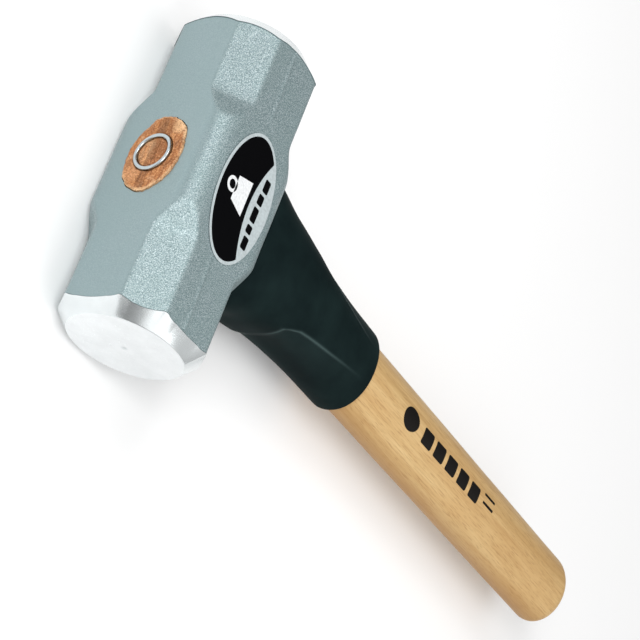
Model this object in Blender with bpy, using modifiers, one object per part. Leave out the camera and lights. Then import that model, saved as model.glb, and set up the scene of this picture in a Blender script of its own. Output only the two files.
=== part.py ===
"""Sledgehammer: forged double-faced head on a short hickory handle.

The hammer lies on the lower cheek of its head.  The origin is on that cheek, straight below the
centre of the head.  +X runs along the handle to its butt, +Y along the head, and +Z up through
the cheek that carries the label.
"""
import math

import bmesh
import bpy
from mathutils import Matrix, Vector

# ---- Driving dimensions, in metres -------------------------------------------------------------

GAP = 0.0004                    # clearance between neighbouring pieces
CLEAR = 0.0100                  # how far a cutter reaches past what it cuts

# Head: a square bar with octagonal ends and turned striking faces.
HEAD_SIZE = 0.0595              # across the flats
HEAD_LENGTH = 0.1556            # face to face
BLOCK_LENGTH = 0.0460           # square middle block, between the tops of the ramps
RAMP_FEET = 0.0685              # the ramps reach the octagon this far apart
BLOCK_EDGE_RADIUS = 0.0110      # long edges of the middle block
EYE_SIDE_FLAT = 0.0299          # octagon flats on the eye side and the underside
CHEEK_FLAT = 0.0322             # octagon flats on the two cheeks
FACE_RADIUS = 0.0263            # edge of the striking face
FACE_CROWN = 0.0004             # rise at the centre of the face
BEVEL_ANGLE = math.radians(42)  # ground bevel at the octagon's corners, from the head's axis
BEVEL_SCALLOP = 0.70            # how far the rim dips at the flats, as a share of a true cone's

# Eye: an oval hole, waisted at the middle.
OVAL_RATIO = 0.775              # width over length of the eye and the handle
EYE_MOUTH = 0.0199              # half length of the oval at the eye side
EYE_WAIST = 0.0182              # half length at the middle
EYE_FOOT = 0.0190               # half length at the underside

# Handle.
HANDLE_LENGTH = 0.4150
HANDLE_PROUD = 0.0009           # the handle's end stands above the eye side
HANDLE_GRIP = 0.0204            # half length of the oval below the head
HANDLE_BUTT = 0.0203            # half length of the oval at the butt
BUTT_RADIUS = 0.0100            # rounding at the butt
SHOULDER = 0.0200               # length over which the grip narrows into the eye
END_CHAMFER = 0.0004            # on the handle's end in the eye

# Wedges.
WEDGE_DEPTH = 0.038
WEDGE_TOP = 0.0042              # thickness at the top
WEDGE_TIP = 0.0014              # thickness at the tip
RING_RADIUS = 0.0094
RING_WALL = 0.0017
RING_EDGE = 0.0006              # wall left at the ring's lower, driven edge
RING_DEPTH = 0.0190
RING_TAPER = 0.0076             # length of the taper to that edge
RING_PROUD = 0.0008             # the ring stands above the handle's end

# Guard sleeve below the head: each station is the distance from the head's centre, the half
# length and the half thickness of a rounded section, and how square that section is.
SLEEVE_STATIONS = (
    (0.0302, 0.0363, 0.0235, 2.50),
    (0.0372, 0.0348, 0.0235, 2.60),
    (0.0505, 0.0300, 0.0233, 2.75),
    (0.0625, 0.0277, 0.0225, 2.90),
    (0.0803, 0.0241, 0.0214, 3.10),
    (0.0980, 0.0232, 0.0205, 2.70),
    (0.1190, 0.0234, 0.0194, 2.30),
    (0.1442, 0.0232, 0.0181, 2.15),
)
SLEEVE_LIP = 0.0014             # rounding of the two ends

# Label on the upper cheek.
LABEL_LENGTH = 0.0628           # along the head
LABEL_WIDTH = 0.0372
LABEL_THICKNESS = 0.0003
LABEL_SHIFT = -0.0027           # along the head, from its centre

HALF = HEAD_SIZE / 2
HANDLE_END = -HALF - HANDLE_PROUD
BUTT = HANDLE_END + HANDLE_LENGTH
CENTRE = Vector((0.0, 0.0, HALF))
ALONG_HANDLE = Matrix.Translation(CENTRE) @ Matrix.Rotation(math.pi / 2, 4, "Y")
TURN_STEPS = 72                 # sides of a turned piece
FACE_STEPS = 96                 # sides of the striking faces
SECTION_POINTS = 64             # points round the sleeve


# ---- Scene, collections and materials ----------------------------------------------------------

def clear_scene():
    for obj in list(bpy.data.objects):
        bpy.data.objects.remove(obj, do_unlink=True)


def make_collection(name):
    group = bpy.data.collections.new(name)
    bpy.context.scene.collection.children.link(group)
    return group


def make_material(name, colour, roughness, metallic):
    material = bpy.data.materials.new(name)
    material.use_nodes = True
    shader = material.node_tree.nodes["Principled BSDF"]
    shader.inputs["Base Color"].default_value = (*colour, 1.0)
    shader.inputs["Roughness"].default_value = roughness
    shader.inputs["Metallic"].default_value = metallic
    return material


# ---- Modelling helpers -------------------------------------------------------------------------

def add_object(name, mesh, group, matrix=None):
    obj = bpy.data.objects.new(name, mesh)
    if matrix is not None:
        obj.matrix_world = matrix
    group.objects.link(obj)
    return obj


def mesh_from_bmesh(name, bm):
    bmesh.ops.recalc_face_normals(bm, faces=bm.faces)
    mesh = bpy.data.meshes.new(name)
    bm.to_mesh(mesh)
    bm.free()
    return mesh


def bridge(bm, near, far):
    """A band of four-sided faces between two rings of as many points."""
    for i in range(len(near)):
        j = (i + 1) % len(near)
        bm.faces.new((near[i], near[j], far[j], far[i]))


def turned(name, profile, group, matrix, closed=False):
    """A body of revolution about local Z from (radius, height) points, highest first."""
    bm = bmesh.new()
    verts = [bm.verts.new((radius, 0.0, height)) for radius, height in profile]
    pairs = list(zip(verts, verts[1:]))
    if closed:
        pairs.append((verts[-1], verts[0]))
    for start, end in pairs:
        bm.edges.new((start, end))
    mesh = bpy.data.meshes.new(name)
    bm.to_mesh(mesh)
    bm.free()
    obj = add_object(name, mesh, group, matrix)
    screw = obj.modifiers.new("Turn", "SCREW")
    screw.steps = TURN_STEPS
    screw.render_steps = TURN_STEPS
    screw.use_merge_vertices = True
    screw.merge_threshold = 0.00001
    screw.use_smooth_shade = True
    return obj


def flattened(matrix):
    """The handle's frame with its local X squeezed, which makes a turned round oval."""
    return matrix @ Matrix.Diagonal((OVAL_RATIO, 1.0, 1.0, 1.0))


def boolean(target, other, operation="DIFFERENCE"):
    modifier = target.modifiers.new(operation.title() + " " + other.name, "BOOLEAN")
    modifier.operation = operation
    modifier.solver = "EXACT"
    modifier.object = other


def make_cutter(obj):
    obj.hide_render = True
    obj.display_type = "WIRE"
    return obj


def shade(obj, material, angle=30.0):
    obj.data.materials.clear()
    obj.data.materials.append(material)
    obj.data.shade_smooth()
    obj.data.set_sharp_from_angle(angle=math.radians(angle))


# ---- Head --------------------------------------------------------------------------------------

def square_bar(group):
    """The bar that the head is forged from, with its long edges rounded."""
    bm = bmesh.new()
    bmesh.ops.create_cube(bm, size=1.0)
    bmesh.ops.scale(bm, vec=(HEAD_SIZE, HEAD_LENGTH + 2.0 * CLEAR, HEAD_SIZE), verts=bm.verts)
    long_edges = [edge for edge in bm.edges
                  if abs(edge.verts[0].co.y - edge.verts[1].co.y) > HEAD_LENGTH]
    bmesh.ops.bevel(bm, geom=long_edges, offset=BLOCK_EDGE_RADIUS, segments=8,
                    profile=0.5, affect="EDGES")
    return add_object("head", mesh_from_bmesh("head", bm), group, Matrix.Translation(CENTRE))


def octagon_facet():
    """Outward normal of the octagon's corner facets, and their distance from the head's axis."""
    across = Vector((CHEEK_FLAT / 2 - HALF, 0.0, HALF - EYE_SIDE_FLAT / 2)).normalized()
    outward = Vector((across.z, 0.0, -across.x))
    return outward, outward.dot(Vector((HALF, 0.0, EYE_SIDE_FLAT / 2)))


def octagon_radius(angle):
    """Distance from the head's axis to the octagon's surface, in a direction across the head."""
    outward, facet = octagon_facet()
    x = abs(math.cos(angle))
    z = abs(math.sin(angle))
    reaches = [facet / (outward.x * x + outward.z * z)]
    reaches += [HALF / part for part in (x, z) if part > 0.1]
    return min(reaches)


def corner_cutter(side_x, side_y, side_z, group):
    """A wedge that planes one corner of one end down to the octagon, with a ramp at its foot."""
    outward, facet = octagon_facet()
    across = Vector((-outward.z, 0.0, outward.x))
    arc_centre = Vector((HALF - BLOCK_EDGE_RADIUS, 0.0, HALF - BLOCK_EDGE_RADIUS))
    ridge = outward.dot(arc_centre) + BLOCK_EDGE_RADIUS
    foot = RAMP_FEET / 2
    slope = (ridge - facet) / (foot - BLOCK_LENGTH / 2)
    top = ridge + CLEAR
    outline = ((foot, facet), (HEAD_LENGTH, facet), (HEAD_LENGTH, top),
               (foot - (top - facet) / slope, top))
    bm = bmesh.new()
    rings = []
    for reach in (-HALF, HALF):
        ring = [bm.verts.new(outward * radial + across * reach + Vector((0.0, along, 0.0)))
                for along, radial in outline]
        rings.append(ring)
        bm.faces.new(ring)
    bridge(bm, *rings)
    bmesh.ops.scale(bm, vec=(side_x, side_y, side_z), verts=bm.verts)
    name = "corner_cutter_{:+d}{:+d}{:+d}".format(side_x, side_y, side_z)
    mesh = mesh_from_bmesh(name, bm)
    return make_cutter(add_object(name, mesh, group, Matrix.Translation(CENTRE)))


def bevel_slope(angle):
    """Setback of the bevel per unit of radius: steeper at the flats than at the corners."""
    outward, facet = octagon_facet()
    corner = math.hypot(HALF, EYE_SIDE_FLAT / 2)
    cone = 1.0 / math.tan(BEVEL_ANGLE)
    radius = octagon_radius(angle)
    dip = BEVEL_SCALLOP * cone * max(corner - radius, 0.0)
    setback = cone * (corner - FACE_RADIUS) - dip
    return setback / (radius - FACE_RADIUS)


def face_envelope(group):
    """The outline of both ends: crowned round faces, and bevels lofted out to the octagon."""
    end = HEAD_LENGTH / 2
    angles = [2.0 * math.pi * i / FACE_STEPS for i in range(FACE_STEPS)]
    rings = []
    for part in (0.4, 0.75, 1.0):
        height = end + FACE_CROWN * (1.0 - part ** 2)
        rings.append([(FACE_RADIUS * part, height, angle) for angle in angles])
    beyond = [octagon_radius(angle) + BLOCK_EDGE_RADIUS / 6.0 for angle in angles]
    rings.append([(radius, end - bevel_slope(angle) * (radius - FACE_RADIUS), angle)
                  for radius, angle in zip(beyond, angles)])
    rings.append([(HEAD_SIZE, y, angle) for _, y, angle in rings[-1]])
    rings += [[(radius, -y, angle) for radius, y, angle in ring] for ring in reversed(rings)]
    bm = bmesh.new()
    loops = [[bm.verts.new((radius * math.cos(angle), y, radius * math.sin(angle)))
              for radius, y, angle in ring] for ring in rings]
    for near, far in zip(loops, loops[1:]):
        bridge(bm, near, far)
    for loop, height in ((loops[0], end + FACE_CROWN), (loops[-1], -end - FACE_CROWN)):
        middle = bm.verts.new((0.0, height, 0.0))
        for start, stop in zip(loop, loop[1:] + loop[:1]):
            bm.faces.new((start, stop, middle))
    mesh = mesh_from_bmesh("face_envelope", bm)
    return make_cutter(add_object("face_envelope", mesh, group, Matrix.Translation(CENTRE)))


def eye_half_length(x):
    """Half length of the oval eye at a distance x along the handle from the head's centre."""
    wide = EYE_MOUTH if x < 0.0 else EYE_FOOT
    return EYE_WAIST + (wide - EYE_WAIST) * (x / HALF) ** 2


def eye_cutter(group):
    steps = 12
    reach = HALF + 3.0 * GAP
    stations = [reach - 2.0 * reach * i / steps for i in range(steps + 1)]
    profile = [(0.0, reach)]
    profile += [(eye_half_length(x), x) for x in stations]
    profile.append((0.0, -reach))
    return make_cutter(turned("eye_cutter", profile, group, flattened(ALONG_HANDLE)))


def build_head(group, cutters, material):
    head = square_bar(group)
    for side_x in (-1, 1):
        for side_y in (-1, 1):
            for side_z in (-1, 1):
                boolean(head, corner_cutter(side_x, side_y, side_z, cutters))
    boolean(head, face_envelope(cutters), "INTERSECT")
    boolean(head, eye_cutter(cutters))
    shade(head, material, 20.0)


# ---- Handle ------------------------------------------------------------------------------------

def handle_profile():
    """Half length of the handle's oval from the butt, through the shoulder, to the eye."""
    points = [(0.0, BUTT)]
    for i in range(7):
        angle = math.pi / 2 * i / 6
        points.append((HANDLE_BUTT - BUTT_RADIUS * (1.0 - math.sin(angle)),
                       BUTT - BUTT_RADIUS * (1.0 - math.cos(angle))))
    points.append((HANDLE_GRIP, HALF + SHOULDER))
    steps = 10
    for i in range(steps + 1):
        x = HALF - HEAD_SIZE * i / steps
        points.append((eye_half_length(x) - GAP, x))
    points.append((EYE_MOUTH - GAP, HANDLE_END + END_CHAMFER))
    points.append((EYE_MOUTH - GAP - END_CHAMFER, HANDLE_END))
    points.append((0.0, HANDLE_END))
    return points


def wedge_slab(name, group, clearance):
    """A tapered slab down the long axis of the eye, from above the handle's end."""
    top = HANDLE_END - (CLEAR if clearance else 0.0)
    tip = HANDLE_END + WEDGE_DEPTH + clearance
    taper = (WEDGE_TOP - WEDGE_TIP) / WEDGE_DEPTH
    half_tip = WEDGE_TIP / 2 + clearance
    half_top = half_tip + taper * (tip - top) / 2
    bm = bmesh.new()
    bmesh.ops.create_cube(bm, size=2.0)
    for vert in bm.verts:
        half = half_top if vert.co.x < 0.0 else half_tip
        vert.co = Vector((top if vert.co.x < 0.0 else tip, vert.co.y * (EYE_MOUTH + CLEAR),
                          vert.co.z * half))
    return add_object(name, mesh_from_bmesh(name, bm), group, Matrix.Translation(CENTRE))


def ring_profile(clearance, top):
    """Section of the ring wedge: a straight tube whose lower end tapers to a driving edge."""
    outer = RING_RADIUS + clearance
    inner = RING_RADIUS - RING_WALL - clearance
    middle = RING_RADIUS - RING_WALL / 2
    edge = RING_EDGE / 2 + clearance
    foot = HANDLE_END + RING_DEPTH
    taper_start = foot - RING_TAPER
    return [(middle + edge, foot + clearance), (outer, taper_start), (outer, top),
            (inner, top), (inner, taper_start), (middle - edge, foot + clearance)]


def build_handle(group, cutters, material):
    handle = turned("handle", handle_profile(), group, flattened(ALONG_HANDLE))
    boolean(handle, make_cutter(wedge_slab("kerf_cutter", cutters, GAP)))
    shade(handle, material)
    return handle


def build_wood_wedge(group, cutters, material):
    wedge = wedge_slab("wood_wedge", group, 0.0)
    plug = turned("eye_plug", handle_profile(), cutters, flattened(ALONG_HANDLE))
    boolean(wedge, make_cutter(plug), "INTERSECT")
    shade(wedge, material)
    return wedge


def build_ring_wedge(group, cutters, material, cut_pieces):
    top = HANDLE_END - RING_PROUD
    ring = turned("ring_wedge", ring_profile(0.0, top), group, ALONG_HANDLE, closed=True)
    groove = turned("groove_cutter", ring_profile(GAP, top - CLEAR), cutters, ALONG_HANDLE,
                    closed=True)
    make_cutter(groove)
    for piece in cut_pieces:
        boolean(piece, groove)
    shade(ring, material)


# ---- Guard sleeve ------------------------------------------------------------------------------

def smooth_station(place):
    """Sleeve section at a place counted in stations, on a smooth curve through all of them."""
    last = len(SLEEVE_STATIONS) - 1
    index = min(int(place), last - 1)
    t = place - index
    before = SLEEVE_STATIONS[max(index - 1, 0)]
    start = SLEEVE_STATIONS[index]
    end = SLEEVE_STATIONS[index + 1]
    after = SLEEVE_STATIONS[min(index + 2, last)]
    section = []
    for p0, p1, p2, p3 in zip(before, start, end, after):
        bend = 2.0 * p0 - 5.0 * p1 + 4.0 * p2 - p3
        twist = 3.0 * (p1 - p2) + p3 - p0
        section.append(p1 + 0.5 * t * ((p2 - p0) + t * (bend + t * twist)))
    return section


def rounded_section(x, length, thickness, squareness, inset):
    """Points of a superellipse across the handle at x, drawn in by an inset."""
    points = []
    for i in range(SECTION_POINTS):
        angle = 2.0 * math.pi * i / SECTION_POINTS
        y = abs(math.cos(angle)) ** (2.0 / squareness) * (length - inset)
        z = abs(math.sin(angle)) ** (2.0 / squareness) * (thickness - inset)
        points.append(Vector((x, math.copysign(y, math.cos(angle)),
                              math.copysign(z, math.sin(angle)))))
    return points


def sleeve_rings():
    """Sections of the sleeve from the head to its lower end, with a rounded lip at each end."""
    per_station = 3
    total = per_station * (len(SLEEVE_STATIONS) - 1)
    rings = []
    for i in range(total + 1):
        x, length, thickness, squareness = smooth_station(i / per_station)
        if 0 < i < total:
            rings.append(rounded_section(x, length, thickness, squareness, 0.0))
            continue
        inward = SLEEVE_LIP if i == 0 else -SLEEVE_LIP
        lip = [rounded_section(x + inward * share, length, thickness, squareness,
                               SLEEVE_LIP * (1.0 - share) ** 2) for share in (0.0, 0.3, 1.0)]
        rings += lip if i == 0 else reversed(lip)
    return rings


def sleeve_bore(group):
    """The handle's own outline from the head down, grown by the clearance."""
    profile = [(radius + GAP, x) for radius, x in handle_profile() if x >= HALF]
    profile[0] = (0.0, BUTT)
    profile.append((0.0, profile[-1][1] - GAP))
    return make_cutter(turned("sleeve_bore", profile, group, flattened(ALONG_HANDLE)))


def build_sleeve(group, cutters, material):
    bm = bmesh.new()
    rings = [[bm.verts.new(point) for point in ring] for ring in sleeve_rings()]
    for near, far in zip(rings, rings[1:]):
        bridge(bm, near, far)
    bm.faces.new(rings[0])
    bm.faces.new(rings[-1])
    mesh = mesh_from_bmesh("guard_sleeve", bm)
    sleeve = add_object("guard_sleeve", mesh, group, Matrix.Translation(CENTRE))
    boolean(sleeve, sleeve_bore(cutters))
    shade(sleeve, material, 40.0)


# ---- Label -------------------------------------------------------------------------------------

def build_label(group, material):
    """A thin oval sticker that lies on the upper cheek."""
    curve = bpy.data.curves.new("label", "CURVE")
    curve.dimensions = "2D"
    curve.fill_mode = "BOTH"
    curve.extrude = LABEL_THICKNESS / 2
    count = 72
    outline = curve.splines.new("POLY")
    outline.points.add(count - 1)
    outline.use_cyclic_u = True
    for i, point in enumerate(outline.points):
        angle = 2.0 * math.pi * i / count
        point.co = (math.cos(angle) * LABEL_WIDTH / 2, math.sin(angle) * LABEL_LENGTH / 2, 0.0, 1.0)
    curve.materials.append(material)
    height = HEAD_SIZE + GAP + LABEL_THICKNESS / 2
    add_object("label", curve, group, Matrix.Translation((0.0, LABEL_SHIFT, height)))


# ---- Assembly ----------------------------------------------------------------------------------

def main():
    clear_scene()
    parts = make_collection("sledgehammer")
    cutters = make_collection("sledgehammer_cutters")
    painted_steel = make_material("painted_steel", (0.33, 0.40, 0.42), 0.55, 0.35)
    hickory = make_material("hickory", (0.68, 0.45, 0.23), 0.45, 0.0)
    wedge_wood = make_material("wedge_wood", (0.50, 0.25, 0.10), 0.60, 0.0)
    bright_steel = make_material("bright_steel", (0.72, 0.76, 0.80), 0.30, 1.0)
    black_rubber = make_material("black_rubber", (0.012, 0.018, 0.019), 0.50, 0.0)
    label_film = make_material("label_film", (0.60, 0.64, 0.66), 0.35, 0.0)

    build_head(parts, cutters, painted_steel)
    handle = build_handle(parts, cutters, hickory)
    wedge = build_wood_wedge(parts, cutters, wedge_wood)
    build_ring_wedge(parts, cutters, bright_steel, (handle, wedge))
    build_sleeve(parts, cutters, black_rubber)
    build_label(parts, label_film)


main()
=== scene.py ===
"""Looks for the sledgehammer: fine surfaces, materials, printed marks, floor, lights and camera.

Everything is in the frame of the CAD model, in metres.  The hammer lies on the lower cheek of
its head: +X runs along the handle, +Y along the head and +Z up.
"""
import math

import bmesh
import bpy
import numpy as np
from mathutils import Matrix, Vector


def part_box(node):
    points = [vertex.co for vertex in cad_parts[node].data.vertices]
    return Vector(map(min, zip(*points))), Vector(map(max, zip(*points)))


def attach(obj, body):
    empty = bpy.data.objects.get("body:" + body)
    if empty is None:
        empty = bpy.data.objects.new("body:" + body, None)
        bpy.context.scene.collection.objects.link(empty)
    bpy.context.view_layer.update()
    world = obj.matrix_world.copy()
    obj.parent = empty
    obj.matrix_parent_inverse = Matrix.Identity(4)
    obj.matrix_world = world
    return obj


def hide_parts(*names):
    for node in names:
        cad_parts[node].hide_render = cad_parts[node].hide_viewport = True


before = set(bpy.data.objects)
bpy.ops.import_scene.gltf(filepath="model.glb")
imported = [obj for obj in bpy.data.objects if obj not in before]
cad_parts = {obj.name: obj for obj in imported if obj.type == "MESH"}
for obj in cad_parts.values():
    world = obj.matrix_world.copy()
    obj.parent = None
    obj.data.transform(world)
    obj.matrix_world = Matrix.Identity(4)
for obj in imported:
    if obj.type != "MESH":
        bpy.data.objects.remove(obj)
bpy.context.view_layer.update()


# ---- Sizes, from the CAD boxes -----------------------------------------------------------------

def box_of(node):
    low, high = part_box(node)
    return Vector(low), Vector(high)


HEAD_LOW, HEAD_HIGH = box_of("head")
HANDLE_LOW, HANDLE_HIGH = box_of("handle")
SLEEVE_LOW, SLEEVE_HIGH = box_of("guard_sleeve")
LABEL_LOW, LABEL_HIGH = box_of("label")
RING_LOW, RING_HIGH = box_of("ring_wedge")
WEDGE_LOW, WEDGE_HIGH = box_of("wood_wedge")

HALF = (HEAD_HIGH.x - HEAD_LOW.x) / 2
CENTRE = Vector((0.0, 0.0, HEAD_LOW.z + HALF))

# Head: the same driving sizes as the CAD model.
FACE_CROWN = 0.0004
HEAD_END = HEAD_HIGH.y - FACE_CROWN
BLOCK_END = 0.0230              # ramps start here, from the middle of the head
RAMP_FOOT = 0.03425             # and reach the octagon here
BLOCK_EDGE_RADIUS = 0.0110
EYE_SIDE_FLAT = 0.01495         # half width of the octagon's flats
CHEEK_FLAT = 0.0161
FACE_RADIUS = 0.0263
BEVEL_SLOPE = 1.0 / math.tan(math.radians(42))
OVAL_RATIO = 0.775              # width over length of the eye and the handle
EYE_MOUTH = 0.0199              # half length of the eye where it opens

# Head: finer sizes that only the looks have.
EDGE_SOFTNESS = 0.0009          # rounding of the forged edges
RAMP_SOFTNESS = 0.0009          # and of the foot of each ramp
RIM_LINE = 0.00035              # dark line where the grinding cut through the coat
FACE_ROUNDING = 0.0005
# Radii of the rings of points on the striking face.
FACE_RINGS = (0.024, 0.020, 0.015, 0.010, 0.006, 0.003, 0.0017, 0.0013, 0.0008, 0.0003)
DIMPLE_DEPTH = 0.0005           # centre mark of the striking face
DIMPLE_RADIUS = 0.0015
# How far the rim dips at the middle of the eye side, a facet and a cheek, as shares of a true
# cone's dip: the two ends were ground by hand.
NEAR_SCALLOP = (0.50, 1.15, 0.25)
FAR_SCALLOP = (0.95, 1.00, 0.65)

# Handle, and the steel ring in its end.
GRIP = HANDLE_HIGH.y            # half length of the oval
BUTT = HANDLE_HIGH.x
BUTT_RADIUS = 0.0100
TRIMMED_END = HANDLE_LOW.x - CENTRE.x
RING_OUTER = (RING_HIGH.y - RING_LOW.y) / 2
RING_WALL = 0.0017
RING_INNER = RING_OUTER - RING_WALL
RING_MARGIN = 0.0006            # from the ring to the flat of the end grain


# ---- Mesh helpers ------------------------------------------------------------------------------

def new_piece(name, mesh, materials, node=None):
    """Adds a piece of the hammer that rides on its one body."""
    obj = bpy.data.objects.new(name, mesh)
    bpy.context.scene.collection.objects.link(obj)
    for material in materials:
        mesh.materials.append(material)
    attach(obj, "root")
    if node:
        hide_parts(node)
    return obj


def mesh_from(bm, name):
    """A mesh from a bmesh, with its faces turned outward."""
    bmesh.ops.recalc_face_normals(bm, faces=bm.faces)
    mesh = bpy.data.meshes.new(name)
    bm.to_mesh(mesh)
    bm.free()
    return mesh


def grid_mesh(name, rows, closed=False, sharp=None):
    """A tube of quads through equal rings of points, closed by a fan at both ends if wanted.
    Edges that bend by more than the sharp angle, in degrees, stay hard."""
    rows = np.asarray(rows, dtype=float)
    count = rows.shape[1]
    points = rows.reshape(-1, 3)
    last = (rows.shape[0] - 1) * count
    faces = []
    for near in range(0, last, count):
        far = near + count
        for i in range(count):
            j = (i + 1) % count
            faces.append((near + i, near + j, far + j, far + i))
    if closed:
        start = len(points)
        end = start + 1
        points = np.vstack([points, rows[0].mean(axis=0), rows[-1].mean(axis=0)])
        faces += [((i + 1) % count, i, start) for i in range(count)]
        faces += [(last + i, last + (i + 1) % count, end) for i in range(count)]
    bm = bmesh.new()
    rough = bpy.data.meshes.new(name)
    rough.from_pydata([tuple(p) for p in points], [], faces)
    bm.from_mesh(rough)
    bpy.data.meshes.remove(rough)
    mesh = mesh_from(bm, name)
    mesh.shade_smooth()
    if sharp is not None:
        mesh.set_sharp_from_angle(angle=math.radians(sharp))
    return mesh


def ring_angles(count):
    """Equal steps of angle round a full turn."""
    return np.arange(count) / count * 2.0 * math.pi


def folded_degrees(angles):
    """Angles folded into the first quarter turn, in degrees."""
    return np.degrees(np.arctan2(np.abs(np.sin(angles)), np.abs(np.cos(angles))))


def oval_ring(x, half, angles):
    """A ring with the oval of the handle across X, from the half length of the oval."""
    return np.stack([np.full(len(angles), x), half * np.cos(angles),
                     half * OVAL_RATIO * np.sin(angles)], axis=-1)


def smooth_min(a, b, width):
    """The smaller of two distances, blended where they are within a width of each other."""
    share = np.clip(0.5 + 0.5 * (b - a) / width, 0.0, 1.0)
    return b + (a - b) * share - width * share * (1.0 - share)


def smooth_step(value):
    """A rise from 0 to 1 that starts and ends level."""
    value = np.clip(value, 0.0, 1.0)
    return value * value * (3.0 - 2.0 * value)


def smooth_noise(points, scale, seed):
    """Soft noise of about -1..1 at points, from a few seeded plane waves."""
    rng = np.random.default_rng(seed)
    total = np.zeros(points.shape[:-1])
    waves = 10
    spread = 0.8
    last_phase = 6.28
    for _ in range(waves):
        direction = rng.normal(size=3)
        direction *= rng.uniform(0.6, 1.5) / np.linalg.norm(direction)
        wave = points @ direction * (2.0 * math.pi / scale)
        total += np.sin(wave + rng.uniform(0.0, last_phase))
    return total / math.sqrt(waves) * spread


# ---- Node helpers ------------------------------------------------------------------------------

class Nodes:
    """A short way to write a node tree: each call adds a node and returns its output."""

    def __init__(self, tree):
        self.tree = tree

    def link(self, value, socket):
        """Feeds a socket from another one, or writes a value on it."""
        if isinstance(value, bpy.types.NodeSocket):
            self.tree.links.new(value, socket)
        elif value is not None:
            socket.default_value = value

    def add(self, kind, inputs=(), output=0, **settings):
        node = self.tree.nodes.new(kind)
        for key, value in settings.items():
            setattr(node, key, value)
        for key, value in dict(inputs).items():
            self.link(value, node.inputs[key])
        return node.outputs[output]

    def axes(self, vector):
        """The x, y and z of a vector."""
        return self.add("ShaderNodeSeparateXYZ", {0: vector}).node.outputs

    def between(self, value, low, high, to_low=0.0, to_high=1.0, easing="LINEAR"):
        return self.add("ShaderNodeMapRange",
                        {"Value": value, "From Min": low, "From Max": high,
                         "To Min": to_low, "To Max": to_high}, interpolation_type=easing)

    def sums(self, operation, a, b=None):
        return self.add("ShaderNodeMath", {0: a, 1: b}, operation=operation)

    def measure(self, operation, a, b=None):
        """The one number that comes out of a vector operation."""
        return self.add("ShaderNodeVectorMath", {0: a, 1: b}, "Value", operation=operation)


class MaterialNodes(Nodes):
    """The node tree of a new material."""

    def __init__(self, name):
        self.material = bpy.data.materials.new(name)
        self.material.use_nodes = True
        super().__init__(self.material.node_tree)
        self.shader = self.tree.nodes["Principled BSDF"]

    def place(self, scale=(1.0, 1.0, 1.0), offset=(0.0, 0.0, 0.0)):
        coordinates = self.add("ShaderNodeTexCoord", output="Object")
        return self.add("ShaderNodeMapping",
                        {"Vector": coordinates, "Scale": scale, "Location": offset})

    def noise(self, vector, scale, detail, roughness=0.6, distortion=0.0):
        return self.add("ShaderNodeTexNoise",
                        {"Vector": vector, "Scale": scale, "Detail": detail,
                         "Roughness": roughness, "Distortion": distortion})

    def mix(self, share, a, b, blend="MIX"):
        return self.add("ShaderNodeMix", {0: share, 6: a, 7: b}, 2,
                        data_type="RGBA", blend_type=blend)

    def ramp(self, value, dark, middle, pale):
        """A colour that follows a value from 0 through 0.5 to 1."""
        node = self.tree.nodes.new("ShaderNodeValToRGB")
        self.link(value, node.inputs[0])
        elements = node.color_ramp.elements
        elements.new(0.5)
        for element, position, colour in zip(elements, (0.0, 0.5, 1.0), (dark, middle, pale)):
            element.position = position
            element.color = colour
        return node.outputs[0]

    def bump(self, height, distance, strength, normal=None):
        return self.add("ShaderNodeBump", {"Height": height, "Distance": distance,
                                           "Strength": strength, "Normal": normal})

    def finish(self, colour, roughness, normal=None, **fixed):
        """Feeds the shader, and writes the fixed values on its own sockets."""
        self.link(colour, self.shader.inputs["Base Color"])
        self.link(roughness, self.shader.inputs["Roughness"])
        self.link(normal, self.shader.inputs["Normal"])
        for key, value in fixed.items():
            self.shader.inputs[key.replace("_", " ")].default_value = value
        return self.material


def rgb(red, green, blue):
    """A display colour in 0..255 as the linear colour a shader takes."""
    return tuple(((v / 255.0 + 0.055) / 1.055) ** 2.4 if v > 10 else v / 255.0 / 12.92
                 for v in (red, green, blue)) + (1.0,)


def dimmed(colour, share):
    """A colour at a share of its brightness."""
    return tuple(share * c for c in colour[:3]) + (1.0,)


# ---- Materials ---------------------------------------------------------------------------------

def coated_steel():
    """Thin silver-grey coat on a blasted forging: sparkling grain with darker pits, finer on
    the eye side and the underside, which were smoothed first."""
    n = MaterialNodes("head_coat")
    place = n.place()
    grain = n.noise(place, scale=2300.0, detail=2.0)
    speck = n.noise(place, scale=1400.0, detail=2.0)
    patch = n.noise(place, scale=60.0, detail=4.0)
    facing_x = n.axes(n.add("ShaderNodeNewGeometry", output="Normal"))[0]
    smooth_side = n.between(n.sums("ABSOLUTE", facing_x), 0.80, 0.97)
    coarse = n.sums("SUBTRACT", 1.0, n.sums("MULTIPLY", smooth_side, 0.72))
    centred = n.sums("MULTIPLY", n.sums("SUBTRACT", grain, 0.5), coarse)
    tone = n.sums("ADD", centred, 0.5)
    grey = n.ramp(n.between(tone, 0.30, 0.70),
                  rgb(92, 113, 116), rgb(148, 166, 169), rgb(212, 225, 227))
    pits = n.sums("MULTIPLY", n.between(speck, 0.54, 0.72, to_high=0.7), coarse)
    pitted = n.mix(pits, grey, rgb(90, 114, 115))
    toned = n.mix(n.between(patch, 0.35, 0.7, to_high=0.3), pitted, rgb(134, 158, 157))
    even = n.mix(n.sums("MULTIPLY", smooth_side, 0.5), toned, rgb(137, 157, 160))
    fine = n.bump(centred, distance=0.0003, strength=0.6)
    relief = n.bump(n.sums("MULTIPLY", speck, coarse), distance=0.0002, strength=0.6, normal=fine)
    rough = n.between(grain, 0.3, 0.7, 0.50, 0.35)
    return n.finish(even, rough, relief, Metallic=0.45)


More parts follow.
